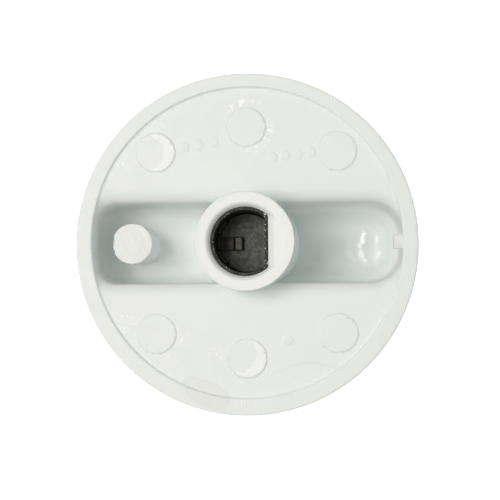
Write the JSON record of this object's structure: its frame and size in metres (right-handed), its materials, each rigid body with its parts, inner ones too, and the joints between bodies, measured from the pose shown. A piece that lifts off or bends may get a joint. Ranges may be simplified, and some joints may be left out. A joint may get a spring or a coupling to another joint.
{
  "type": "control knob",
  "caption": "Round moulded control knob, back up: rimmed disc with a hollow bar grip, a long hub with a steel-lined D socket, a stop post and a retaining clip.",
  "frame": {"origin": "on the shaft axis, in the plane of the grip's flat top, on which the knob lies", "axes": "+Z out of the hub's mouth, away from the grip; +X along the grip, towards the flat side of the socket and the pointer; +Y across the grip"},
  "size_m": [0.046, 0.046, 0.022],
  "materials": {
    "body_plastic": "white moulded, satin gloss",
    "sleeve_steel": "blackened sheet steel",
    "clip_steel": "oiled spring steel",
    "pointer_plastic": "matt dark grey"
  },
  "bodies": {
    "root": {"knob_body": "body_plastic", "shaft_sleeve": "sleeve_steel", "retaining_clip": "clip_steel", "pointer_strip": "pointer_plastic"}
  },
  "joints": []
}
